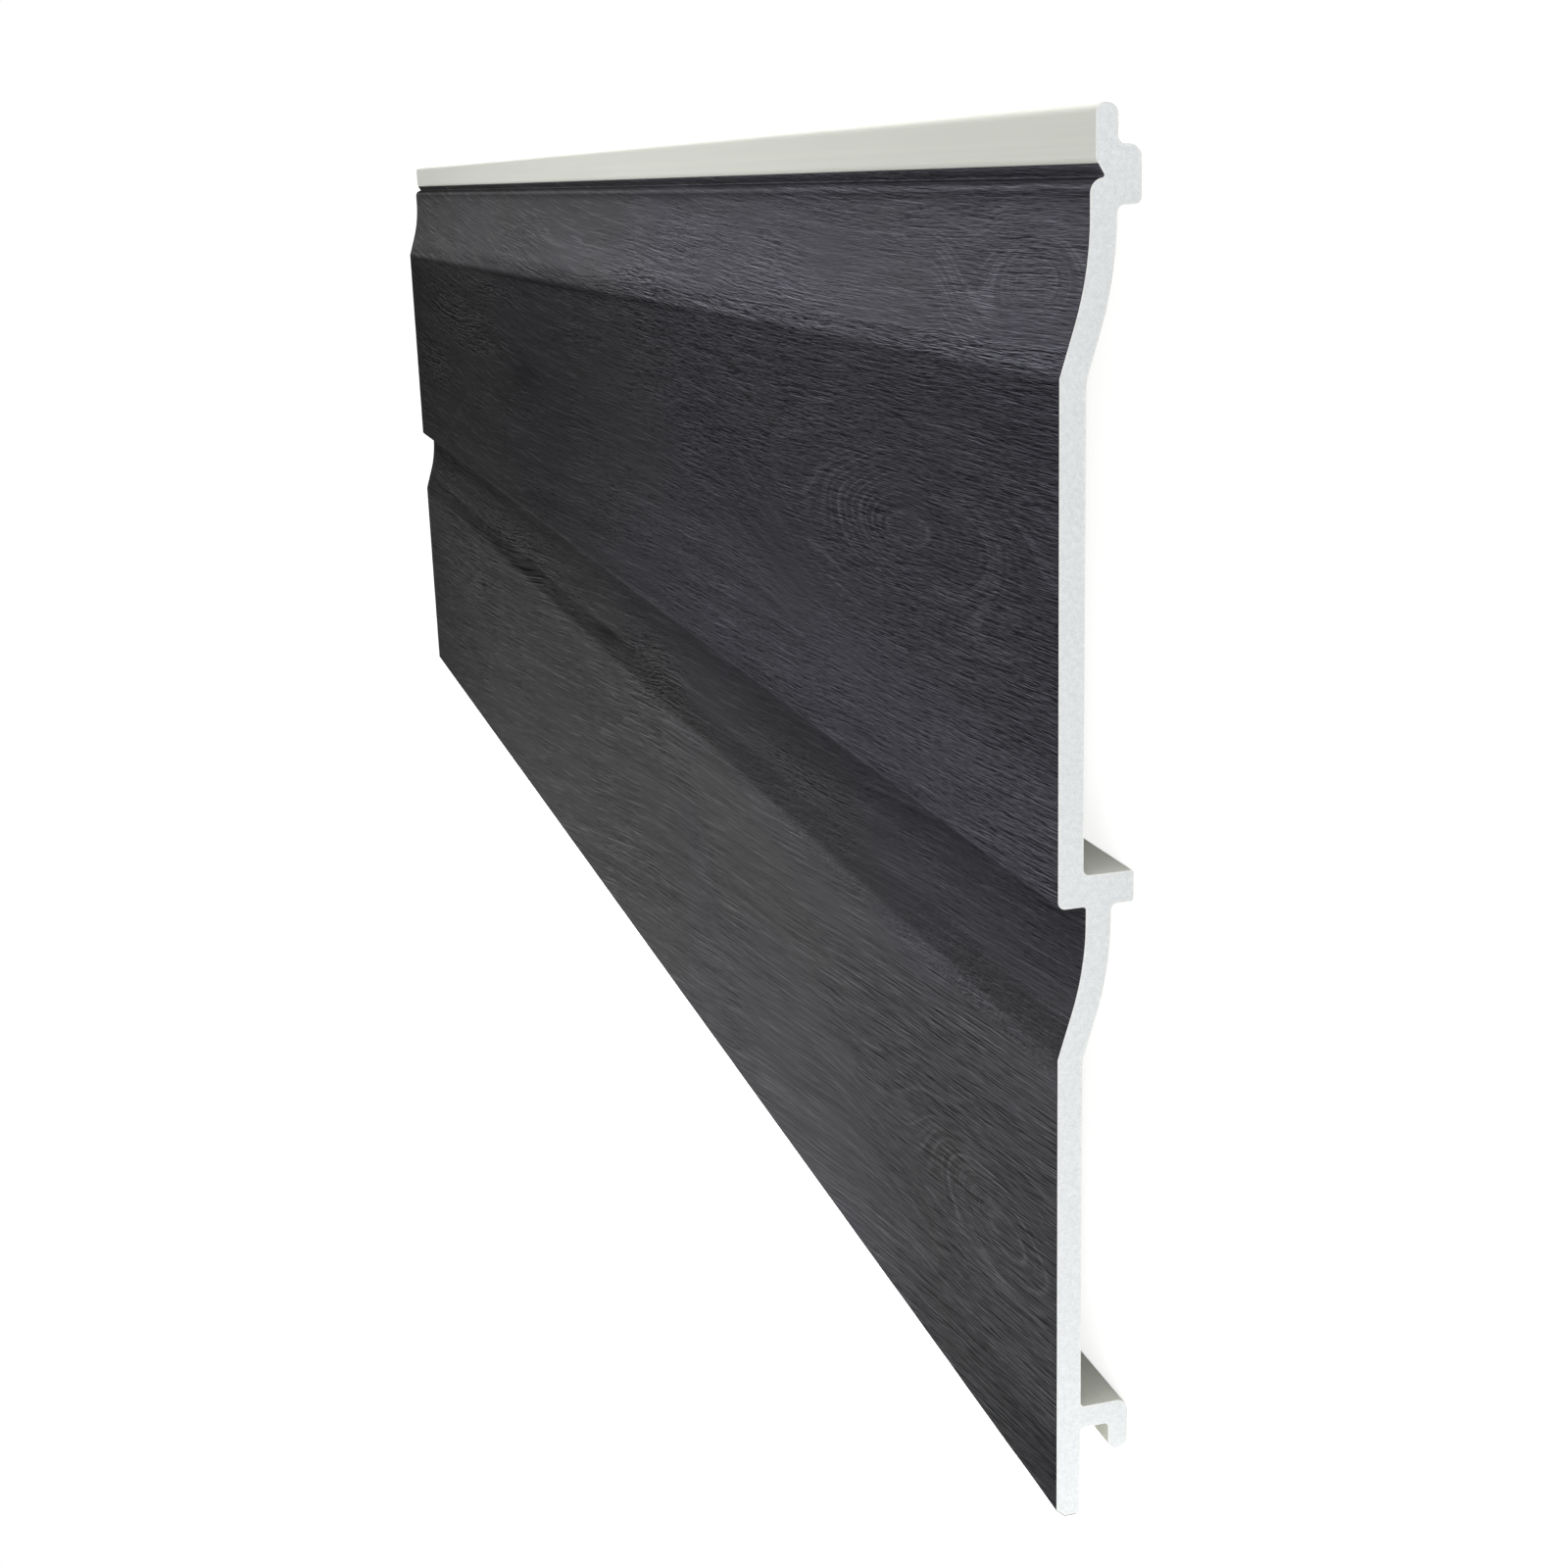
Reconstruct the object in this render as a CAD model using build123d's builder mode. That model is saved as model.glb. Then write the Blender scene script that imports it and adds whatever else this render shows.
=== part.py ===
"""Double shiplap cladding board: one foamed plastic extrusion with a woodgrain foil bonded to its face.

The board lies on its back as it is stored. X runs along the board, Y runs up the wall when it is hung,
and Z points out of the wall. The three ribs rest on z = 0, and the origin is under the middle of the board.
"""

import os
from math import atan2, dist, pi, remainder, tan

from build123d import *

# Whole board, in millimetres
length = 1050.0
plank_pitch = 150.0
plank_count = 2
rib_depth = 18.0
wall = 6.0
foil = 0.2

# One plank's face: a flat, then a cove that runs back under the step of the plank above
cove_height = 35.2
flank_run = 21.0
cove_radius = 70.0
shoulder_radius = 0.8
back_bend_radius = 12.0
lip_radius = 1.8
root_radius = 0.7
lap_clearance = 0.4

# Rib behind each step
rib_height = 7.2
rib_corner = 0.6
rib_fillet = 1.5

# Hook behind the bottom edge, which drops over the tongue of the board below
hook_ceiling = 21.1
hook_web = 5.6
hook_drop = 7.1
hook_lip = 4.9
hook_shoulder_radius = 3.0
hook_tip_radius = 2.2
hook_root_radius = 1.0

# Bottom edge
nose_drop = 1.5
nose_bevel_rise = 1.9
nose_bevel_depth = 2.2
nose_radius = 0.5

# Tongue at the top edge, and the nib that backs it
tongue_thickness = 5.0
tongue_side_clearance = 0.3
tongue_end_gap = 2.0
tongue_foot = 8.2
tongue_front_radius = 2.1
tongue_back_radius = 2.6
nib_height = 12.0
nib_gap = 3.0
nib_top_radius = 3.0
nib_bottom_radius = 1.5
nib_fillet = 1.6

# Nailing notch between the tongue and the top plank's face
notch_height = 4.6
notch_depth = 3.4
notch_lip_height = 3.9
notch_lip_radius = 3.0
notch_root_radius = 0.5
foil_edge_setback = 1.2
foil_bottom_setback = 1.0

# Share of a side that the rounded corners at its ends may use
fillet_share = 0.98

# Levels through the thickness
step_depth = wall + foil + lap_clearance
face_z = rib_depth
wall_back_z = face_z - wall
recess_z = face_z - step_depth
recess_back_z = recess_z - wall
tongue_back_z = hook_lip + tongue_side_clearance
tongue_front_z = tongue_back_z + tongue_thickness

# Heights up the face, from the lower edge line of the lowest plank
top_line = plank_count * plank_pitch
bottom_y = -nose_drop
tongue_top_y = top_line + hook_ceiling - tongue_end_gap
nib_top_y = top_line + hook_ceiling - hook_drop - nib_gap
middle_y = (tongue_top_y + bottom_y - foil) / 2

# The back of a bent wall turns a little lower than its face does
flank_angle = atan2(step_depth, flank_run)
mitre = wall * tan(flank_angle / 2)


def shoulder_y(plank):
    """Height of the corner between a plank's flat and its cove."""
    return (plank + 1) * plank_pitch - cove_height


def cove_front(plank):
    """Corners up the face over one plank's shoulder and cove, each as (y, z, radius)."""
    shoulder = shoulder_y(plank)
    return [
        (shoulder, face_z, shoulder_radius),
        (shoulder + flank_run, recess_z, cove_radius),
    ]


def cove_back(plank):
    """Corners down the back of the same bend."""
    shoulder = shoulder_y(plank)
    return [
        (shoulder + flank_run - mitre, recess_back_z, cove_radius + wall),
        (shoulder - mitre, wall_back_z, back_bend_radius),
    ]


def step_front(plank):
    """Corners up the step from one plank's cove to the lip of the plank above."""
    line = (plank + 1) * plank_pitch
    return [(line, recess_z, root_radius), (line, face_z, lip_radius)]


def rib_back(plank):
    """Corners down the rib behind the same step."""
    line = (plank + 1) * plank_pitch
    return [
        (line + rib_height, wall_back_z, rib_fillet),
        (line + rib_height, 0, rib_corner),
        (line, 0, rib_corner),
        (line, recess_back_z, rib_fillet),
    ]


def face_corners():
    """Corners up the whole face that the foil covers, from the bottom edge to the notch's lip."""
    corners = [
        (bottom_y, face_z - nose_bevel_depth, nose_radius),
        (bottom_y + nose_bevel_rise, face_z, nose_radius),
    ]
    for plank in range(plank_count):
        corners += cove_front(plank)
        if plank < plank_count - 1:
            corners += step_front(plank)
    return corners + [
        (top_line + notch_lip_height, recess_z, notch_lip_radius),
        (top_line + notch_height, recess_z - notch_depth, notch_root_radius),
    ]


def tongue_corners():
    """Corners over the tongue and down the nib behind it."""
    return [
        (top_line + tongue_foot, tongue_front_z, root_radius),
        (tongue_top_y, tongue_front_z, tongue_front_radius),
        (tongue_top_y, tongue_back_z, tongue_back_radius),
        (nib_top_y, tongue_back_z, nib_fillet),
        (nib_top_y, 0, nib_top_radius),
        (nib_top_y - nib_height, 0, nib_bottom_radius),
        (nib_top_y - nib_height, recess_back_z, nib_fillet),
    ]


def back_corners():
    """Corners down the back of the planks and their ribs."""
    corners = []
    for plank in reversed(range(plank_count)):
        corners += cove_back(plank)
        if plank > 0:
            corners += rib_back(plank - 1)
    return corners


def hook_corners():
    """Corners round the hook and down to the bottom edge."""
    hook_top = hook_ceiling + hook_web
    hook_tip = hook_ceiling - hook_drop
    return [
        (hook_top, wall_back_z, hook_root_radius),
        (hook_top, 0, hook_shoulder_radius),
        (hook_tip, 0, hook_tip_radius),
        (hook_tip, hook_lip, hook_tip_radius),
        (hook_ceiling, hook_lip, hook_root_radius),
        (hook_ceiling, wall_back_z, hook_root_radius),
        (bottom_y, wall_back_z, nose_radius),
    ]


def turn_at(before, corner, after):
    """Angle that a line turns by at a corner."""
    arriving = atan2(corner[1] - before[1], corner[0] - before[0])
    leaving = atan2(after[1] - corner[1], after[0] - corner[0])
    return abs(remainder(leaving - arriving, 2 * pi))


def fitting_radii(corners):
    """Each corner's own radius, less only where the sides beside it have no room for it."""
    count = len(corners)
    points = [corner[:2] for corner in corners]
    reach = []
    for i, (_, _, radius) in enumerate(corners):
        turn = turn_at(points[i - 1], points[i], points[(i + 1) % count])
        reach.append(radius * tan(turn / 2))
    room = []
    for i in range(count):
        following = (i + 1) % count
        side = dist(points[i], points[following])
        room.append(min(1, fillet_share * side / (reach[i] + reach[following])))
    return [radius * min(room[i - 1], room[i]) for i, (_, _, radius) in enumerate(corners)]


# The whole outline, and the radius of each of its corners
outline = face_corners() + tongue_corners() + back_corners() + hook_corners()
radii = fitting_radii(outline)
outline_points = [(y - middle_y, z) for y, z, _ in outline]

# The extrusion: its outline is one closed line
with BuildPart() as cladding_board:
    with BuildSketch(Plane.YZ.offset(-length / 2)):
        with BuildLine():
            FilletPolyline(*outline_points, radius=radii, close=True)
        make_face()
    extrude(amount=length)
cladding_board.part.label = "cladding_board"

# The foil: from under the bottom edge, up the face and into the notch, just short of the tongue
face_count = len(face_corners())
face_points = outline_points[:face_count]
notch_root = Vector(*face_points[-1])
tongue_root = Vector(*outline_points[face_count])
foil_top = tongue_root + (notch_root - tongue_root).normalized() * foil_edge_setback
foil_bottom = (bottom_y - middle_y, wall_back_z + foil_bottom_setback)

with BuildPart() as woodgrain_foil:
    with BuildSketch(Plane.YZ.offset(-length / 2)):
        with BuildLine():
            FilletPolyline(foil_bottom, *face_points, foil_top, radius=radii[:face_count])
            offset(amount=foil, side=Side.LEFT, closed=True)
        make_face()
    extrude(amount=length)
woodgrain_foil.part.label = "woodgrain_foil"

os.makedirs("parts", exist_ok=True)
for piece in (cladding_board.part, woodgrain_foil.part):
    export_step(piece, f"parts/{piece.label}.step")
    box = piece.bounding_box()
    print(piece.label, f"{piece.volume:.0f} mm3, solids {len(piece.solids())}, from {box.min} to {box.max}")
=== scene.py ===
from math import atan2, ceil, exp, hypot, pi, radians, remainder, tan

import bmesh
import bpy
from mathutils import Matrix, Vector, noise


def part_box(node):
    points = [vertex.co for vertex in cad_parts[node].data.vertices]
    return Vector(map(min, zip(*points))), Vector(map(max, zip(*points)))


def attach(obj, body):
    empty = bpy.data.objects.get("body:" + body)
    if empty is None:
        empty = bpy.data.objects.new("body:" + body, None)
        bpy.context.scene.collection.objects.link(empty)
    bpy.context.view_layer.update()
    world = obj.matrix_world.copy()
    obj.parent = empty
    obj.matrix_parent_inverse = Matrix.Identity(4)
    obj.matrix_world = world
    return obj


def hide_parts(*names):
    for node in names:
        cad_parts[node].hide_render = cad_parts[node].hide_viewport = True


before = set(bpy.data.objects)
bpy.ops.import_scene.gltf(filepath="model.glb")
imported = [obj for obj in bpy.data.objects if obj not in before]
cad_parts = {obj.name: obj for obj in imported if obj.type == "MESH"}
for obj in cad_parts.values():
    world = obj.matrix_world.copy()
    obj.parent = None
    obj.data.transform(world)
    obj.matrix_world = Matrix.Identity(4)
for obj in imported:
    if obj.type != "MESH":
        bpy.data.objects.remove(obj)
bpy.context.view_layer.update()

# The board's section in metres, as in the CAD: y runs up the wall and z out of it
section = {
    "pitch": 0.150,
    "planks": 2,
    "depth": 0.018,
    "wall": 0.006,
    "foil": 0.0002,
    "lapGap": 0.0004,
    "coveHeight": 0.0352,
    "flankRun": 0.021,
    "coveRadius": 0.070,
    "shoulderRadius": 0.0008,
    "backBendRadius": 0.012,
    "lipRadius": 0.0018,
    "rootRadius": 0.0007,
    "ribHeight": 0.0072,
    "ribCorner": 0.0006,
    "ribFillet": 0.0015,
    "hookCeiling": 0.0211,
    "hookWeb": 0.0056,
    "hookDrop": 0.0071,
    "hookLip": 0.0049,
    "hookShoulderRadius": 0.003,
    "hookTipRadius": 0.0022,
    "hookRootRadius": 0.001,
    "noseDrop": 0.0015,
    "noseBevelRise": 0.0019,
    "noseBevelDepth": 0.0022,
    "noseRadius": 0.0005,
    "tongueThickness": 0.005,
    "tongueSideGap": 0.0003,
    "tongueEndGap": 0.002,
    "tongueFoot": 0.0082,
    "tongueFrontRadius": 0.0021,
    "tongueBackRadius": 0.0026,
    "nibHeight": 0.012,
    "nibGap": 0.003,
    "nibTopRadius": 0.003,
    "nibBottomRadius": 0.0015,
    "nibFillet": 0.0016,
    "notchHeight": 0.0046,
    "notchDepth": 0.0034,
    "notchLipHeight": 0.0039,
    "notchLipRadius": 0.003,
    "notchRootRadius": 0.0005,
    "foilTopSetback": 0.0012,
    "foilBottomSetback": 0.001,
}

# How finely the section is drawn, the widest face of a round, and the turn from which an edge is sharp
drawing = {
    "arcTurn": radians(7),
    "spacing": 0.0013,
    "merge": 0.000001,
    "roundFace": 0.00195,
    "sharpTurn": radians(25),
}

endLow, endHigh = (corner.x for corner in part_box("cladding_board"))


# Levels through the thickness and heights up the board that its corners share
def sectionLevels(s):
    stepDepth = s["wall"] + s["foil"] + s["lapGap"]
    topLine = s["planks"] * s["pitch"]
    levels = {
        "face": s["depth"],
        "wallBack": s["depth"] - s["wall"],
        "recess": s["depth"] - stepDepth,
        "recessBack": s["depth"] - stepDepth - s["wall"],
        "tongueBack": s["hookLip"] + s["tongueSideGap"],
        "tongueFront": s["hookLip"] + s["tongueSideGap"] + s["tongueThickness"],
        "topLine": topLine,
        "bottom": -s["noseDrop"],
        "mitre": s["wall"] * tan(atan2(stepDepth, s["flankRun"]) / 2),
        "tongueTop": topLine + s["hookCeiling"] - s["tongueEndGap"],
        "nibTop": topLine + s["hookCeiling"] - s["hookDrop"] - s["nibGap"],
    }
    levels["middle"] = (levels["tongueTop"] + levels["bottom"] - s["foil"]) / 2
    return levels


# Corners up the face that the foil covers, each as y, z and radius
def faceCorners(s, at):
    corners = [
        (at["bottom"], at["face"] - s["noseBevelDepth"], s["noseRadius"]),
        (at["bottom"] + s["noseBevelRise"], at["face"], s["noseRadius"]),
    ]
    for plank in range(s["planks"]):
        line = (plank + 1) * s["pitch"]
        shoulder = line - s["coveHeight"]
        corners.append((shoulder, at["face"], s["shoulderRadius"]))
        corners.append((shoulder + s["flankRun"], at["recess"], s["coveRadius"]))
        if plank < s["planks"] - 1:
            corners.append((line, at["recess"], s["rootRadius"]))
            corners.append((line, at["face"], s["lipRadius"]))
    corners.append((at["topLine"] + s["notchLipHeight"], at["recess"], s["notchLipRadius"]))
    notchFloor = at["recess"] - s["notchDepth"]
    corners.append((at["topLine"] + s["notchHeight"], notchFloor, s["notchRootRadius"]))
    return corners


# Corners over the tongue and the nib, down the back and round the hook
def bareCorners(s, at):
    nibFoot = at["nibTop"] - s["nibHeight"]
    corners = [
        (at["topLine"] + s["tongueFoot"], at["tongueFront"], s["rootRadius"]),
        (at["tongueTop"], at["tongueFront"], s["tongueFrontRadius"]),
        (at["tongueTop"], at["tongueBack"], s["tongueBackRadius"]),
        (at["nibTop"], at["tongueBack"], s["nibFillet"]),
        (at["nibTop"], 0, s["nibTopRadius"]),
        (nibFoot, 0, s["nibBottomRadius"]),
        (nibFoot, at["recessBack"], s["nibFillet"]),
    ]
    for plank in reversed(range(s["planks"])):
        shoulder = (plank + 1) * s["pitch"] - s["coveHeight"] - at["mitre"]
        corners.append((shoulder + s["flankRun"], at["recessBack"], s["coveRadius"] + s["wall"]))
        corners.append((shoulder, at["wallBack"], s["backBendRadius"]))
        if plank > 0:
            line = plank * s["pitch"]
            corners += [
                (line + s["ribHeight"], at["wallBack"], s["ribFillet"]),
                (line + s["ribHeight"], 0, s["ribCorner"]),
                (line, 0, s["ribCorner"]),
                (line, at["recessBack"], s["ribFillet"]),
            ]
    hookTop = s["hookCeiling"] + s["hookWeb"]
    hookTip = s["hookCeiling"] - s["hookDrop"]
    return corners + [
        (hookTop, at["wallBack"], s["hookRootRadius"]),
        (hookTop, 0, s["hookShoulderRadius"]),
        (hookTip, 0, s["hookTipRadius"]),
        (hookTip, s["hookLip"], s["hookTipRadius"]),
        (s["hookCeiling"], s["hookLip"], s["hookRootRadius"]),
        (s["hookCeiling"], at["wallBack"], s["hookRootRadius"]),
        (at["bottom"], at["wallBack"], s["noseRadius"]),
    ]


# Unit direction from one corner to the next
def heading(a, b):
    return Vector((b[0] - a[0], b[1] - a[1])).normalized()


# The turn at a corner, positive when it closes towards the left, and how far its round reaches
def turnAt(before, corner, after):
    arriving = heading(before, corner)
    leaving = heading(corner, after)
    turn = remainder(atan2(leaving.y, leaving.x) - atan2(arriving.y, arriving.x), 2 * pi)
    return arriving, leaving, turn, abs(tan(turn / 2)) * corner[2]


# The same open path moved to its left, each round keeping its centre
def movedPath(corners, distance):
    last = len(corners) - 1
    moved = []
    for i, (y, z, radius) in enumerate(corners):
        arriving = heading(corners[max(i - 1, 0)], corners[max(i, 1)])
        leaving = heading(corners[min(i, last - 1)], corners[min(i + 1, last)])
        sides = [Vector((-way.y, way.x)) for way in (arriving, leaving)]
        shift = (sides[0] + sides[1]) * distance / (1 + sides[0].dot(sides[1]))
        closes = arriving.x * leaving.y - arriving.y * leaving.x > 0
        moved.append((y + shift.x, z + shift.y, max(0, radius + (-distance if closes else distance))))
    return moved


# Draws a path across the board like a pen: sides are extruded from the last point, rounds are spun
def drawPath(bm, corners, middle, closed=False, longestPiece=1.0):
    count = len(corners)

    def place(y, z):
        return Vector((endLow, y - middle, z))

    def step(pen, spot):
        way = spot - pen.co
        if way.length < drawing["merge"]:
            return pen
        pieces = ceil(way.length / longestPiece)
        for _ in range(pieces):
            pen = bmesh.ops.extrude_vert_indiv(bm, verts=[pen])["verts"][0]
            pen.co += way / pieces
        return pen

    start = Vector(corners[0][:2])
    if closed:
        _, leaving, _, reach = turnAt(corners[-1], corners[0], corners[1])
        start += leaving * reach
    pen = first = bm.verts.new(place(*start))
    rounds = [*range(1, count), 0] if closed else range(1, count - 1)
    for i in rounds:
        arriving, _, turn, reach = turnAt(corners[i - 1], corners[i], corners[(i + 1) % count])
        foot = Vector(corners[i][:2]) - arriving * reach
        pen = step(pen, place(*foot))
        radius = corners[i][2]
        if radius > 0:
            centre = foot + Vector((-arriving.y, arriving.x)) * (radius if turn > 0 else -radius)
            bend = abs(turn)
            steps = max(2, ceil(bend / drawing["arcTurn"]), ceil(bend * radius / drawing["spacing"]))
            pivot = place(*centre)
            spun = bmesh.ops.spin(bm, geom=[pen], cent=pivot, axis=(1, 0, 0), angle=turn, steps=steps)
            pen = spun["geom_last"][0]
    if closed:
        bmesh.ops.pointmerge(bm, verts=[pen, first], merge_co=first.co)
    else:
        pen = step(pen, place(*corners[-1][:2]))
    return first, pen


# The points of an open wire in order from its first one
def walkFrom(first):
    points = [first]
    seen = {first}
    while True:
        onward = [edge.other_vert(points[-1]) for edge in points[-1].link_edges]
        onward = [point for point in onward if point not in seen]
        if not onward:
            return points
        points.append(onward[0])
        seen.add(onward[0])


# Puts a finished bmesh into the scene as a piece that rides on the board's body
def addPiece(bm, name, node, materials):
    bmesh.ops.recalc_face_normals(bm, faces=bm.faces)
    for edge in bm.edges:
        edge.smooth = len(edge.link_faces) == 2 and edge.calc_face_angle() < drawing["sharpTurn"]
    mesh = bpy.data.meshes.new(name)
    bm.to_mesh(mesh)
    bm.free()
    for material in materials:
        mesh.materials.append(material)
    piece = bpy.data.objects.new(name, mesh)
    bpy.context.scene.collection.objects.link(piece)
    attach(piece, "root")
    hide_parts(node)


# A new material with only a Principled shader in it
def newMaterial(name, roughness, shine):
    material = bpy.data.materials.new(name)
    material.use_nodes = True
    tree = material.node_tree
    shader = tree.nodes["Principled BSDF"]
    shader.inputs["Roughness"].default_value = roughness
    shader.inputs["Specular IOR Level"].default_value = shine
    return material, tree, shader


# Adds a node, sets what its panel shows, and fills each socket with a value or a link
def addNode(tree, kind, sockets=None, **panel):
    made = tree.nodes.new("ShaderNode" + kind)
    for name, value in panel.items():
        setattr(made, name, value)
    for socket, value in (sockets or {}).items():
        if isinstance(value, bpy.types.NodeSocket):
            tree.links.new(value, made.inputs[socket])
        else:
            made.inputs[socket].default_value = value
    return made


# One arithmetic step
def maths(tree, operation, *values, clamp=False):
    made = addNode(tree, "Math", dict(enumerate(values)), operation=operation, use_clamp=clamp)
    return made.outputs["Value"]


# Brings a value from one range into another, given as its two ends and theirs
def ranged(tree, value, fromLow, fromHigh, toLow, toHigh):
    ends = {"From Min": fromLow, "From Max": fromHigh, "To Min": toLow, "To Max": toHigh}
    return addNode(tree, "MapRange", {"Value": value, **ends}).outputs["Result"]


# The point on the object, and how far along the board it lies
def objectPlace(tree):
    position = addNode(tree, "TexCoord").outputs["Object"]
    return position, addNode(tree, "SeparateXYZ", {"Vector": position}).outputs["X"]


# Two values as a place for a pattern: along the board and across it
def placeOf(tree, along, across):
    return addNode(tree, "CombineXYZ", {"X": along, "Y": across}).outputs["Vector"]


# A noise stretched along the grain, as its value from 0 to 1, turned so that its lattice does not show
def stretchedNoise(tree, place, scale, detail=2.0, roughness=0.5):
    laid = addNode(tree, "Mapping", {"Vector": place, "Scale": scale, "Rotation": (0.5, 0.4, 0.7)})
    finish = {"Scale": 1.0, "Detail": detail, "Roughness": roughness}
    return addNode(tree, "TexNoise", {"Vector": laid.outputs["Vector"], **finish}).outputs["Fac"]


# Gives a shader its colour, made lighter or darker by a tone, and its bump
def finishShader(tree, shader, colour, tone, height, distance):
    shaded = addNode(tree, "VectorMath", {0: colour, "Scale": tone}, operation="SCALE")
    tree.links.new(shaded.outputs["Vector"], shader.inputs["Base Color"])
    bump = addNode(tree, "Bump", {"Height": height, "Distance": distance, "Strength": 1.0})
    tree.links.new(bump.outputs["Normal"], shader.inputs["Normal"])


# The foam board: a smooth cream skin round a foamed core that shows at the sawn ends
# Scales are noise scales, and a tone is a value's two ends and how light it is at each
board = {
    "skin": 0.00045,
    "skinColour": (0.69, 0.70, 0.64),
    "skinRoughness": 0.42,
    "skinShine": 0.03,
    "dieLineScale": (3, 900, 900),
    "dieLineTone": (0.3, 0.7, 0.98, 1.02),
    "dieLineDepth": 0.00002,
    "cloudScale": (9, 40, 40),
    "cloudTone": (0.3, 0.7, 0.98, 1.02),
    "paintedFarEndLight": (endLow, 0.45, 1.24, 1.0),
    "foamColour": (0.79, 0.81, 0.815),
    "rimColour": (0.82, 0.835, 0.825),
    "foamRoughness": 0.8,
    "foamShine": 0.05,
    "cellScale": 2600.0,
    "cellTone": (0.0, 0.5, 0.86, 1.02),
    "gritScale": (900, 900, 900),
    "gritTone": (0.3, 0.7, 0.93, 1.04),
    "gritHeight": 0.6,
    "coreCellDepth": 0.00004,
    "rimCellDepth": 0.000015,
}


# Smooth extruded skin: cream, with faint lines from the die, and painted light that makes it lighter
# towards the far end
def skinMaterial():
    material, tree, shader = newMaterial("extruded cream skin", board["skinRoughness"], board["skinShine"])
    position, along = objectPlace(tree)
    dieLines = stretchedNoise(tree, position, board["dieLineScale"])
    cloud = stretchedNoise(tree, position, board["cloudScale"])
    lined = ranged(tree, dieLines, *board["dieLineTone"])
    # Painted light: the skin grows lighter towards the far end
    linedWithPaintedLight = maths(tree, "MULTIPLY", lined, ranged(tree, along, *board["paintedFarEndLight"]))
    tone = maths(tree, "MULTIPLY", linedWithPaintedLight, ranged(tree, cloud, *board["cloudTone"]))
    finishShader(tree, shader, board["skinColour"], tone, dieLines, board["dieLineDepth"])
    return material


# The sawn core: white foam with tiny open cells
def foamMaterial(name, colour, cellDepth):
    material, tree, shader = newMaterial(name, board["foamRoughness"], board["foamShine"])
    position, _ = objectPlace(tree)
    foam = addNode(tree, "TexVoronoi", {"Vector": position, "Scale": board["cellScale"]})
    cells = foam.outputs["Distance"]
    grit = stretchedNoise(tree, position, board["gritScale"], detail=3, roughness=0.6)
    celled = ranged(tree, cells, *board["cellTone"])
    tone = maths(tree, "MULTIPLY", celled, ranged(tree, grit, *board["gritTone"]))
    height = maths(tree, "MULTIPLY_ADD", grit, board["gritHeight"], cells)
    finishShader(tree, shader, colour, tone, height, cellDepth)
    return material


# The foamed board: its outline drawn at one end, closed and pulled to the other
def buildBoard(at, materials):
    bm = bmesh.new()
    drawPath(bm, faceCorners(section, at) + bareCorners(section, at), at["middle"], closed=True)
    bmesh.ops.contextual_create(bm, geom=bm.edges[:])
    pulled = bmesh.ops.extrude_face_region(bm, geom=bm.faces[:], use_keep_orig=True)
    farPoints = [item for item in pulled["geom"] if isinstance(item, bmesh.types.BMVert)]
    bmesh.ops.translate(bm, verts=farPoints, vec=(endHigh - endLow, 0, 0))
    bmesh.ops.recalc_face_normals(bm, faces=bm.faces)
    for face in bm.faces:
        face.smooth = min(edge.calc_length() for edge in face.edges) < drawing["roundFace"]
    ends = [face for face in bm.faces if len(face.verts) > 4]
    for face in ends:
        face.smooth = False
        face.material_index = 1
        rim = bmesh.ops.inset_region(bm, faces=[face], thickness=board["skin"], use_even_offset=True)
        for strip in rim["faces"]:
            strip.smooth = False
            strip.material_index = 2
    addPiece(bm, "foamBoard", "cladding_board", materials)


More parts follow.
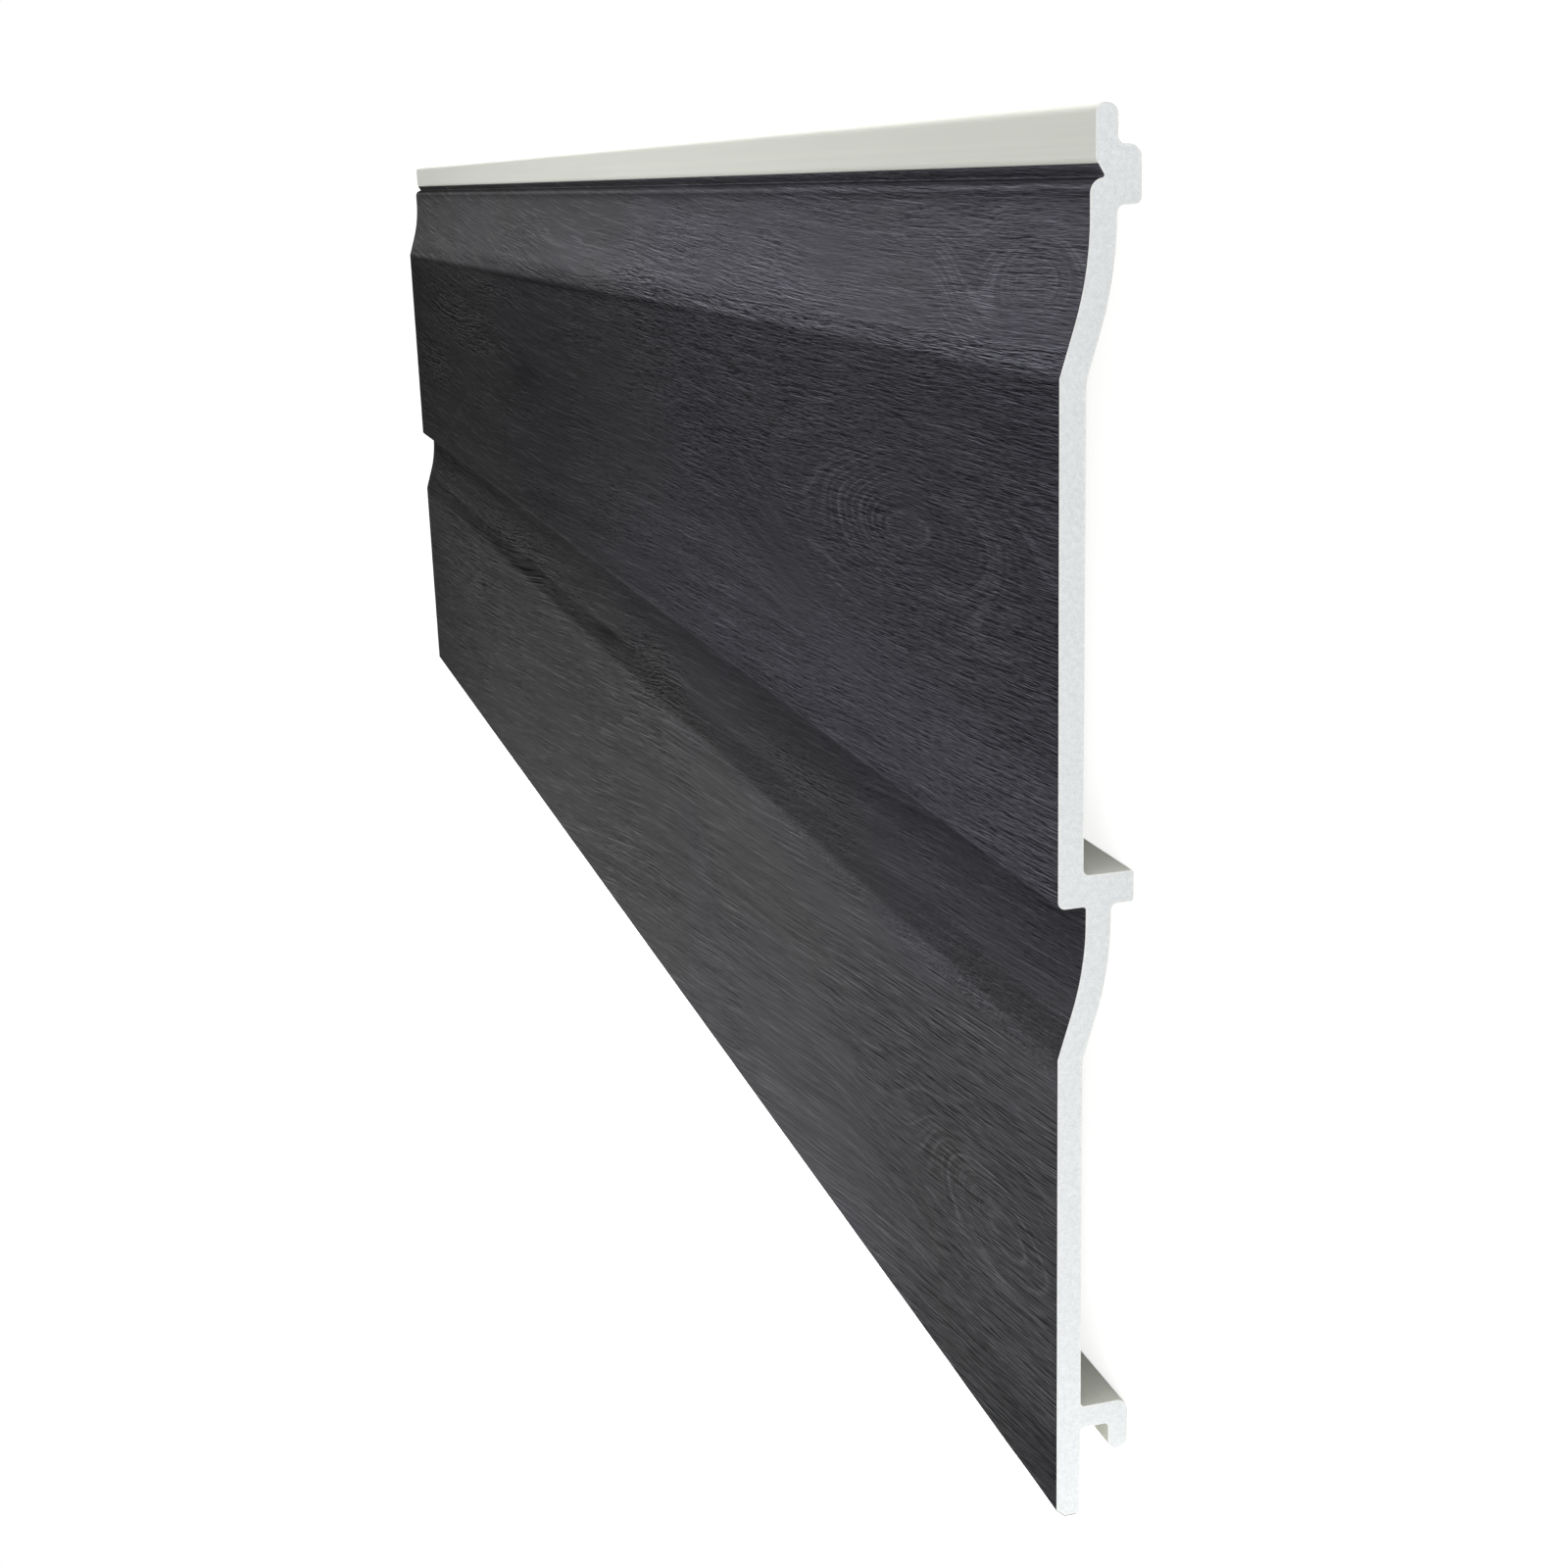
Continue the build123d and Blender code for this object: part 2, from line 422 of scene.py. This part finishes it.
# The foil's grain as the mesh carries it, in metres
# A place is x along the board and y up it; a wave is its strength, its rates along and across, and its seed
grain = {
    "lengthwiseCuts": 219,
    "stepHeight": -0.0087,
    "topShoulder": 0.112,
    # The fibres fan out from one height towards the near end; here a wave's strength also grows with x
    "fanHeight": 0.058,
    "fanRate": 0.78,
    "fanEven": 0.1,
    "fanBend": 0.04,
    "fibreWaves": [
        (0.0028, 0.0028, 5, 11, 7.5),
        (0.0006, 0.0004, 26, 42, 0.5),
    ],
    # Relief: its depth, the share of it in smooth places, and the fade at the foil's two edges
    "reliefDepth": 0.00011,
    "smoothRelief": 0.35,
    "rimFade": 0.002,
    "hollowMean": 0.45,
    "hollowWaves": [(0.55, 9, 120, 1.5), (0.5, 26, 270, 4.5)],
    # Growth rings: how plainly they show as a share, and the core, reach and bands in radii of a knot
    # They show in the ring band round a knot and hide in the fold band, where they turn back into the grain
    "ringsElsewhere": 0.2,
    "ringWaves": [(0.002, 22, 60, 15.5)],
    "knotCore": 0.5,
    "knotReach": 2.2,
    "ringBand": 0.85,
    "ringBandHalf": 0.35,
    "foldBand": 2.1,
    "foldBandHalf": 0.6,
    "ringsBeside": 0.45,
    "ringsFarGain": 0.55,
    "leastRings": 0.2,
    # Knots: place, radius of their rings, stretch along the board and how plainly the rings show
    "knots": [
        (0.435, 0.062, 0.0185, 3.6, 1.0),
        (0.499, 0.126, 0.0100, 2.4, 0.25),
        (0.492, -0.101, 0.0130, 3.4, 0.6),
    ],
    # Emboss: how deep it is at the far end, and what the near end adds, from which x and over what length
    "farEmboss": 0.15,
    "nearEmboss": 0.55,
    "upperRise": (-0.15, 0.35),
    "lowerRise": (0.24, 0.28),
    "lowerLeast": 0.4,
    "endEmboss": 0.3,
    "endRise": (0.32, 0.12),
    "topCoveShare": 0.4,
    "leastEmboss": 0.12,
    "raggedWaves": [(0.06, 7, 22, 21.5), (0.03, 20, 110, 25.5)],
    "patchWaves": [(0.4, 9, 24, 3.5), (0.25, 33, 90, 9.5)],
    # Islands: place, half length, half width, how much deeper the emboss is and how far the fibres tilt
    "islands": [
        (-0.170, -0.0360, 0.090, 0.010, 0.8, 0.050),
        (-0.350, -0.0770, 0.110, 0.014, 0.6, 0.0),
        (0.120, -0.0340, 0.050, 0.009, 0.8, 0.090),
        (0.315, -0.0300, 0.045, 0.005, 0.6, -0.030),
        (-0.300, 0.0750, 0.130, 0.013, 0.9, 0.060),
        (-0.210, 0.0970, 0.080, 0.006, 0.7, 0.050),
        (-0.420, 0.0420, 0.100, 0.012, 0.9, 0.030),
        (0.130, 0.1130, 0.050, 0.003, 0.7, 0.030),
        (0.120, -0.0600, 0.060, 0.012, 0.4, 0.030),
        (0.400, -0.0600, 0.100, 0.018, -0.4, 0.0),
        (0.480, -0.0340, 0.130, 0.016, -0.6, 0.0),
        (0.340, 0.0300, 0.060, 0.022, -0.3, 0.0),
        (0.500, 0.0050, 0.070, 0.020, 0.4, 0.0),
        (0.520, -0.1200, 0.080, 0.050, 0.2, 0.0),
    ],
    # The print's random tone in waves, then bands of painted light and shade where light falls unevenly on
    # the coves, flats, recess and notch, with a few marks of the print: middle along the board, half
    # length, lowest and highest y, edge, share lighter
    "shadeWaves": [(0.07, 4, 16, 12.5)],
    "paintedLightAndPrintMarks": [
        # Painted light on the top cove, where light from above falls, and painted shade and light over the
        # flats and the lower cove where the lamps fall unevenly
        (0.20, 1.20, 0.1065, 0.1452, 0.002, 0.58),
        (0.15, 0.45, 0.1120, 0.1230, 0.006, 0.08),
        (0.22, 0.15, 0.1150, 0.1330, 0.006, 0.22),
        (0.25, 0.25, -0.0087, 0.0350, 0.020, 0.12),
        (-0.45, 0.45, 0.1065, 0.1440, 0.002, 0.35),
        (0.10, 2.00, -0.0085, 0.1060, 0.002, -0.14),
        (-0.60, 0.35, -0.0085, 0.1060, 0.030, -0.22),
        (0.38, 0.30, -0.1600, -0.0442, 0.002, 0.22),
        (0.48, 0.12, -0.1450, -0.0700, 0.040, -0.12),
        (-0.25, 0.50, -0.0434, -0.0350, 0.0025, -0.36),
        (0.45, 0.35, -0.0434, -0.0350, 0.0025, -0.13),
        (0.35, 0.30, -0.0340, -0.0250, 0.003, 0.03),
        (-0.05, 0.26, -0.0065, 0.1060, 0.002, -0.26),
        (-0.05, 0.38, 0.1050, 0.1120, 0.003, -0.50),
        # A faint smudge in the print
        (-0.115, 0.040, 0.0530, 0.0660, 0.006, -0.12),
        # Painted shade and painted light on the flats close to the near end
        (0.53, 0.10, -0.1602, -0.1380, 0.008, -0.42),
        (0.53, 0.10, -0.0087, 0.0200, 0.010, 0.20),
        # Painted shade in the recess under the step
        (0.10, 2.00, -0.0240, -0.0090, 0.008, -0.14),
        # Painted light in the unlit notch, then painted shade on the notch lip's round and just below it
        (0.00, 2.00, 0.1461, 0.1600, 0.0006, 1.60),
        (0.00, 2.00, 0.1446, 0.1459, 0.0004, -0.80),
        (0.20, 1.20, 0.1417, 0.1434, 0.0008, -0.60),
        (0.20, 1.20, 0.1380, 0.1437, 0.003, -0.15),
        # A dark mark in the print and a light streak beside it
        (0.034, 0.025, -0.0395, -0.0350, 0.002, -0.22),
        (0.005, 0.018, -0.0352, -0.0338, 0.0008, 0.55),
    ],
}


# What the mesh tells the material at each of its points
foilLayers = ("across", "fibres", "rings", "ringShare", "emboss", "tone")


# A value held between a lowest one and 1
def held(value, low=0.0):
    return min(1.0, max(low, value))


# How far a value has risen past its start, as a share of the rise's length
def risen(value, start, length):
    return held((value - start) / length)


# A smooth hill, from 1 at its middle to 0 well past its half width
def bell(away, half):
    return exp(-((away / half) ** 2))


# Waves of noise added up
def wavesAt(x, across, waves):
    return sum(
        strength * noise.noise((alongRate * x, acrossRate * across, seed))
        for strength, alongRate, acrossRate, seed in waves
    )


# Where a point lies across the fibres, which fan out from one height, tilt at the islands and wander
def fibresAt(x, across, fanMiddle, islandPlaces):
    place = (across - fanMiddle) * exp(grain["fanRate"] * (x - grain["fanEven"])) - grain["fanBend"] * x * x
    for islandX, islandAcross, halfLength, halfWidth, _, tilt in islandPlaces:
        aside = x - islandX
        place -= tilt * aside * bell(aside, halfLength) * bell(across - islandAcross, halfWidth)
    for strength, growth, alongRate, acrossRate, seed in grain["fibreWaves"]:
        wave = noise.noise((alongRate * x, acrossRate * across, seed))
        place += (strength + growth * x) * wave
    return place


# Where a point lies among the growth rings, which close round each knot, and how plainly they show there
def ringsAt(place, x, across, knotPlaces):
    share = grain["ringsElsewhere"]
    wobble = wavesAt(x, across, grain["ringWaves"])
    rings = place
    for knotX, knotAcross, knotFibres, radius, stretch, plainness in knotPlaces:
        along = (x - knotX) / stretch
        away = hypot(along, across - knotAcross, grain["knotCore"] * radius)
        near = exp(-((away / (grain["knotReach"] * radius)) ** 4))
        rings += near * (away + wobble - (place - knotFibres))
        farSide = max(grain["leastRings"], grain["ringsBeside"] - grain["ringsFarGain"] * along / away)
        share *= 1 - bell(away / radius - grain["foldBand"], grain["foldBandHalf"])
        share += plainness * farSide * bell(away / radius - grain["ringBand"], grain["ringBandHalf"])
    return rings, held(share)


# How deep the emboss is at a point, from near 0 in the smooth places to 1 where it is rough
def embossAt(x, y, across, islandPlaces):
    ragged = x + wavesAt(x, across, grain["raggedWaves"])
    if y > grain["stepHeight"]:
        nearness = risen(ragged, *grain["upperRise"])
    else:
        nearness = max(grain["lowerLeast"], risen(ragged, *grain["lowerRise"]))
    deep = grain["farEmboss"] + grain["nearEmboss"] * nearness
    deep += grain["endEmboss"] * risen(ragged, *grain["endRise"])
    if y > grain["topShoulder"]:
        deep *= grain["topCoveShare"]
    deep += wavesAt(x, across, grain["patchWaves"])
    for islandX, islandAcross, halfLength, halfWidth, amount, _ in islandPlaces:
        deep += amount * bell(x - islandX, halfLength) * bell(across - islandAcross, halfWidth)
    return held(deep, grain["leastEmboss"])


# How light the foil is at a point, with 1 as its mean: the print's random tone, plus painted light and
# shade in bands and a few print marks
def toneWithPaintedLightAt(x, across, paintedLightAndMarkPlaces):
    tone = 1 + wavesAt(x, across, grain["shadeWaves"])
    for middleX, halfLength, low, high, edge, amount in paintedLightAndMarkPlaces:
        inside = risen(min(across - low, high - across), -edge / 2, edge)
        tone += amount * bell(x - middleX, halfLength) * inside
    return tone


# Depth of the grain at a point, as a share of the relief's whole depth
def hollowAt(x, fibrePlace):
    return held(grain["hollowMean"] + wavesAt(x, fibrePlace, grain["hollowWaves"]))


# The foil's net: a fine outer line joined to the inner one, pulled along the board and cut across
# Gives back how far along the outer line each height on the face lies, and how long that line is
def drawFoil(bm, at, across):
    covered = faceCorners(section, at)
    tongueRoot = bareCorners(section, at)[0]
    topEnd = Vector(tongueRoot[:2]) + heading(tongueRoot, covered[-1]) * section["foilTopSetback"]
    inner = [(at["bottom"], at["wallBack"] + section["foilBottomSetback"], 0)] + covered + [(*topEnd, 0)]
    outer = movedPath(inner, section["foil"])
    first, last = drawPath(bm, outer, at["middle"], longestPiece=drawing["spacing"])
    outerLine = walkFrom(first)
    run = 0
    for before, point in zip(outerLine, outerLine[1:]):
        run += (point.co - before.co).length
        point[across] = run
    frontZ = section["depth"] / 2
    faceRun = [(point.co.y, point[across]) for point in outerLine if point.co.z > frontZ]
    innerFirst, innerLast = drawPath(bm, inner, at["middle"])
    bm.edges.new((first, innerFirst))
    bm.edges.new((last, innerLast))
    nearLoop = bm.edges[:]
    pulled = bmesh.ops.extrude_edge_only(bm, edges=nearLoop)["geom"]
    farPoints = [item for item in pulled if isinstance(item, bmesh.types.BMVert)]
    farLoop = [edge for edge in bm.edges if all(point in farPoints for point in edge.verts)]
    bmesh.ops.translate(bm, verts=farPoints, vec=(endHigh - endLow, 0, 0))
    for loop in (nearLoop, farLoop):
        bmesh.ops.contextual_create(bm, geom=loop)
    lengthwise = [edge for edge in bm.edges if edge not in nearLoop and edge not in farLoop]
    bmesh.ops.subdivide_edges(bm, edges=lengthwise, cuts=grain["lengthwiseCuts"], use_grid_fill=True)
    for face in bm.faces:
        face.smooth = len(face.verts) == 4
    return faceRun, run


# Presses the grain into the net, and writes at each point what the foil's material reads there
def pressGrain(bm, layer, faceRun, run):
    bmesh.ops.recalc_face_normals(bm, faces=bm.faces)
    bm.normal_update()

    def acrossAt(y):
        return min(faceRun, key=lambda pair: abs(pair[0] - y))[1]

    fanMiddle = acrossAt(grain["fanHeight"])
    islandPlaces = [(x, acrossAt(y), *rest) for x, y, *rest in grain["islands"]]
    paintedLightAndMarkPlaces = [
        (x, halfLength, acrossAt(low), acrossAt(high), *rest)
        for x, halfLength, low, high, *rest in grain["paintedLightAndPrintMarks"]
    ]
    knotPlaces = []
    for x, y, *rest in grain["knots"]:
        knotAcross = acrossAt(y)
        knotPlaces.append((x, knotAcross, fibresAt(x, knotAcross, fanMiddle, islandPlaces), *rest))
    for point in bm.verts:
        x, y, _ = point.co
        across = point[layer["across"]]
        fibres = fibresAt(x, across, fanMiddle, islandPlaces)
        rings, ringShare = ringsAt(fibres, x, across, knotPlaces)
        emboss = embossAt(x, y, across, islandPlaces)
        point[layer["fibres"]] = fibres
        point[layer["rings"]] = rings
        point[layer["ringShare"]] = ringShare
        point[layer["emboss"]] = emboss
        # This tone carries painted light and shade as well as the print's own tone
        point[layer["tone"]] = toneWithPaintedLightAt(x, across, paintedLightAndMarkPlaces)
        rim = min(across, run - across) / grain["rimFade"]
        if rim > 0:
            outward = Vector((0, point.normal.y, point.normal.z)).normalized()
            roughShare = grain["smoothRelief"] + (1 - grain["smoothRelief"]) * emboss
            depth = grain["reliefDepth"] * hollowAt(x, fibres) * roughShare
            point.co -= outward * depth * min(1, rim)


# The foil: a thin film with its grain pressed in
def buildFoil(at, material):
    bm = bmesh.new()
    layer = {name: bm.verts.layers.float.new(name) for name in foilLayers}
    faceRun, run = drawFoil(bm, at, layer["across"])
    pressGrain(bm, layer, faceRun, run)
    addPiece(bm, "grainFoil", "woodgrain_foil", [material])


# The foil's print and its finer emboss, between the mesh's points
# Scales are noise scales along the board and across the fibres, in 1/m; ranges are two ends and theirs
foilPrint = {
    "roughness": 0.62,
    "shine": 0.0,
    # Fibres: their run along the board as gain and mean, and how much longer they are on the lower flat
    "runGain": 0.3,
    "runMean": 0.7,
    "lowerRun": (0.130, 0.115, 1.0, 0.5),
    "swayScale": (60, 150, 1),
    "swayGain": 0.0005,
    "swayMean": 0.0004,
    "fibreScale": (60, 1000, 1),
    "fineScale": (220, 3100, 1),
    # The step across the fibres over which a slope's painted light and shade is read, and how strong that
    # painted light and the painted crest highlight are
    "lightStep": (0, 0.00016, 0),
    "grooveRange": (0.46, 0.38, 0.0, 1.0),
    "grooveTone": -0.3,
    "paintedSlopeLight": 5.0,
    "paintedCrestHighlight": (0.05, 0.15, 0.0, 0.7),
    "fineRange": (0.35, 0.65, -1.0, 1.0),
    "fineTone": 0.25,
    "leastTone": 0.25,
    "embossShare": 1.5,
    "embossDepth": 0.0008,
    # Growth rings, the broad bands that bend them, and the light streaks along them
    "ringSpacing": 0.0012,
    "ringRise": 0.45,
    "bandScale": (5, 170, 1),
    "bandRange": (0.3, 0.7, 0.86, 1.08),
    "bandBend": 9.0,
    "streakScale": (25, 1000, 1),
    "streakRange": (0.55, 0.70, 0.0, 0.35),
    # Colour: bluer towards the near end and the top, in slow clouds
    "bluerColour": (0.057, 0.05643, 0.06669, 1),
    "plainColour": (0.057, 0.057, 0.05757, 1),
    "cloudScale": (7, 14, 7),
    "plainAlong": (-0.4, 0.5, 1.0, 0.0),
    "plainAcross": (0.17, 0.10, -0.5, 0.1),
}


# The embossed fibres: their height as a noise, and how light or dark they are, with painted light and shade
# on their slopes and a painted highlight on their crests
def fibreLook(tree, along, across, fibres, depthShare):
    p = foilPrint
    evenly = maths(tree, "MULTIPLY", along, maths(tree, "MULTIPLY_ADD", along, p["runGain"], p["runMean"]))
    spread = maths(tree, "MULTIPLY", evenly, ranged(tree, across, *p["lowerRun"]))
    sway = stretchedNoise(tree, placeOf(tree, spread, fibres), p["swayScale"], detail=1)
    swaySize = maths(tree, "MULTIPLY_ADD", along, p["swayGain"], p["swayMean"])
    place = placeOf(tree, spread, maths(tree, "MULTIPLY_ADD", sway, swaySize, fibres))
    beside = addNode(tree, "VectorMath", {0: place, 1: p["lightStep"]}, operation="ADD").outputs["Vector"]
    height, nextHeight = (
        stretchedNoise(tree, spot, p["fibreScale"], detail=3, roughness=0.72) for spot in (place, beside)
    )
    slope = maths(tree, "SUBTRACT", height, nextHeight)
    grooved = maths(tree, "MULTIPLY", ranged(tree, height, *p["grooveRange"]), p["grooveTone"])
    # Painted light and shade by each fibre's slope over the grooves' darker print, then a painted highlight
    # on steep crests
    groovesAndPaintedSlopeLight = maths(tree, "MULTIPLY_ADD", slope, p["paintedSlopeLight"], grooved)
    withPaintedCrestHighlight = maths(tree, "ADD", groovesAndPaintedSlopeLight, ranged(tree, slope, *p["paintedCrestHighlight"]))
    fine = ranged(tree, stretchedNoise(tree, place, p["fineScale"], detail=1), *p["fineRange"])
    contrast = maths(tree, "MULTIPLY_ADD", fine, p["fineTone"], withPaintedCrestHighlight)
    tone = maths(tree, "MAXIMUM", maths(tree, "MULTIPLY_ADD", contrast, depthShare, 1.0), p["leastTone"])
    return height, tone


# The growth rings: fine light lines, broad bands and light streaks
def ringLook(tree, along, rings, ringShare):
    p = foilPrint
    place = placeOf(tree, along, rings)
    band = stretchedNoise(tree, place, p["bandScale"], detail=2, roughness=0.6)
    streak = stretchedNoise(tree, place, p["streakScale"], detail=1)
    streakTone = ranged(tree, streak, *p["streakRange"])
    bandTone = maths(tree, "ADD", ranged(tree, band, *p["bandRange"]), streakTone)
    turn = maths(tree, "MULTIPLY", rings, 2 * pi / p["ringSpacing"])
    wave = maths(tree, "SINE", maths(tree, "MULTIPLY_ADD", band, p["bandBend"], turn))
    line = maths(tree, "MAXIMUM", wave, 0.0)
    lines = maths(tree, "MULTIPLY", maths(tree, "MULTIPLY", line, line), ringShare)
    return maths(tree, "MULTIPLY", bandTone, maths(tree, "MULTIPLY_ADD", lines, p["ringRise"], 1.0))


# The print's colour before it is shaded
def printColour(tree, position, along, across):
    p = foilPrint
    cloud = stretchedNoise(tree, position, p["cloudScale"])
    alongShare = ranged(tree, along, *p["plainAlong"])
    acrossShare = ranged(tree, across, *p["plainAcross"])
    plain = maths(tree, "ADD", maths(tree, "ADD", alongShare, acrossShare), cloud, clamp=True)
    ends = {"A": p["bluerColour"], "B": p["plainColour"]}
    return addNode(tree, "Mix", {"Factor": plain, **ends}, data_type="RGBA").outputs["Result"]


# Dark woodgrain foil: thin embossed fibres over growth rings and slow clouds, with painted light and shade
# on the fibres' slopes and in bands across the board
def foilMaterial():
    p = foilPrint
    material, tree, shader = newMaterial("anthracite woodgrain foil", p["roughness"], p["shine"])
    position, along = objectPlace(tree)
    across, fibres, rings, ringShare, emboss, toneWithPaintedLight = (
        addNode(tree, "Attribute", attribute_name=name).outputs["Fac"] for name in foilLayers
    )
    depthShare = maths(tree, "MULTIPLY", emboss, p["embossShare"])
    height, fibreToneWithPaintedLight = fibreLook(tree, along, across, fibres, depthShare)
    ringTone = ringLook(tree, along, rings, ringShare)
    tone = maths(tree, "MULTIPLY", maths(tree, "MULTIPLY", fibreToneWithPaintedLight, ringTone), toneWithPaintedLight)
    depth = maths(tree, "MULTIPLY", maths(tree, "MULTIPLY", height, depthShare), p["embossDepth"])
    finishShader(tree, shader, printColour(tree, position, along, across), tone, depth, 1.0)
    return material


# The photograph's viewpoint: the board lies on its back and its near end fills the right of the picture
camera = {
    "place": (0.94993, 0.14804, 0.20109),
    "aim": (0.31132, -0.03445, 0.0182),
    "upright": (-0.2458, 0.9638, -0.1033),
    "lens": 50.81,
    "sensor": 36.0,
    "nearest": 0.01,
    "farthest": 100,
}


def addCamera():
    data = bpy.data.cameras.new("camera")
    data.sensor_width = camera["sensor"]
    data.lens = camera["lens"]
    data.clip_start = camera["nearest"]
    data.clip_end = camera["farthest"]
    eye = bpy.data.objects.new("camera", data)
    place = Vector(camera["place"])
    forward = (Vector(camera["aim"]) - place).normalized()
    right = forward.cross(Vector(camera["upright"])).normalized()
    turned = Matrix((right, right.cross(forward), -forward)).transposed()
    eye.matrix_world = Matrix.Translation(place) @ turned.to_4x4()
    bpy.context.scene.collection.objects.link(eye)
    bpy.context.scene.camera = eye


# Soft boxes as place, aim, width, height and power
lamps = {
    "topLow": ((0.20, 1.00, 0.13), (0.10, 0.05, 0.0), 1.6, 0.2, 8.0),
    "topSide": ((0.15, 1.05, 0.50), (0.0, 0.05, 0.0), 1.5, 0.4, 7.5),
    "sawnEnd": ((1.70, -0.40, 0.36), (0.5, -0.05, 0.0), 0.9, 0.5, 9.5),
    "lowNear": ((0.40, -0.50, 0.24), (0.30, -0.08, 0.0), 0.6, 0.2, 2.5),
    "lowMiddle": ((-0.10, -0.50, 0.24), (-0.05, -0.08, 0.0), 0.6, 0.2, 2.5),
    "overhead": ((-0.1, 0.1, 1.7), (0.0, 0.0, 0.0), 1.4, 1.0, 2.0),
    "farEnd": ((-0.90, 0.0, 0.008), (-0.525, 0.0, 0.008), 1.2, 0.010, 0.9),
}


# A soft box that faces what it lights
def addLamp(name, place, aim, width, height, power):
    light = bpy.data.lights.new(name, "AREA")
    light.shape = "RECTANGLE"
    light.size = width
    light.size_y = height
    light.energy = power
    lamp = bpy.data.objects.new(name, light)
    lamp.location = place
    lamp.rotation_euler = (Vector(aim) - Vector(place)).to_track_quat("-Z", "Y").to_euler()
    bpy.context.scene.collection.objects.link(lamp)


# The floor and the world; the floor turns white to the camera from glowFrom to glowTo metres away
studio = {
    "white": (1, 1, 1, 1),
    "fill": 0.1,
    "floorColour": (0.80, 0.80, 0.80, 1),
    "floorRoughness": 0.9,
    "floorShine": 0.0,
    "floorGlow": 0.78,
    "glowFrom": 0.7,
    "glowTo": 1.6,
    "floorSize": 30.0,
    "floorDrop": 0.0002,
}


# 1 where the camera looks, also by way of a mirror or through glass, and 0 for all other light
def seenDirectly(tree):
    path = addNode(tree, "LightPath")
    mirrored = maths(tree, "MAXIMUM", path.outputs["Is Glossy Ray"], path.outputs["Is Transmission Ray"])
    return maths(tree, "MAXIMUM", path.outputs["Is Camera Ray"], mirrored)


def buildWorld():
    world = bpy.data.worlds.new("plain studio")
    bpy.context.scene.world = world
    world.use_nodes = True
    tree = world.node_tree
    background = tree.nodes["Background"]
    background.inputs["Color"].default_value = studio["white"]
    strength = ranged(tree, seenDirectly(tree), 0.0, 1.0, studio["fill"], 1.0)
    tree.links.new(strength, background.inputs["Strength"])


def buildFloor():
    material, tree, shader = newMaterial("pale floor", studio["floorRoughness"], studio["floorShine"])
    shader.inputs["Base Color"].default_value = studio["floorColour"]
    shader.inputs["Emission Color"].default_value = studio["white"]
    position, _ = objectPlace(tree)
    away = addNode(tree, "VectorMath", {0: position}, operation="LENGTH").outputs["Value"]
    glowHere = ranged(tree, away, studio["glowFrom"], studio["glowTo"], studio["floorGlow"], 1.0)
    glow = maths(tree, "MULTIPLY", seenDirectly(tree), glowHere)
    tree.links.new(glow, shader.inputs["Emission Strength"])
    bm = bmesh.new()
    bmesh.ops.create_grid(bm, x_segments=1, y_segments=1, size=studio["floorSize"] / 2)
    bmesh.ops.translate(bm, verts=bm.verts, vec=(0, 0, -studio["floorDrop"]))
    mesh = bpy.data.meshes.new("floor")
    bm.to_mesh(mesh)
    bm.free()
    mesh.materials.append(material)
    floor = bpy.data.objects.new("floor", mesh)
    bpy.context.scene.collection.objects.link(floor)


addCamera()
levels = sectionLevels(section)
boardMaterials = [
    skinMaterial(),
    foamMaterial("sawn foam core", board["foamColour"], board["coreCellDepth"]),
    foamMaterial("dense sawn rim", board["rimColour"], board["rimCellDepth"]),
]
buildBoard(levels, boardMaterials)
print("foam board built")
buildFoil(levels, foilMaterial())
print("grain foil built")
for lampName, values in lamps.items():
    addLamp(lampName, *values)
buildWorld()
buildFloor()
bpy.context.scene.view_settings.view_transform = "Standard"
print("studio lit")
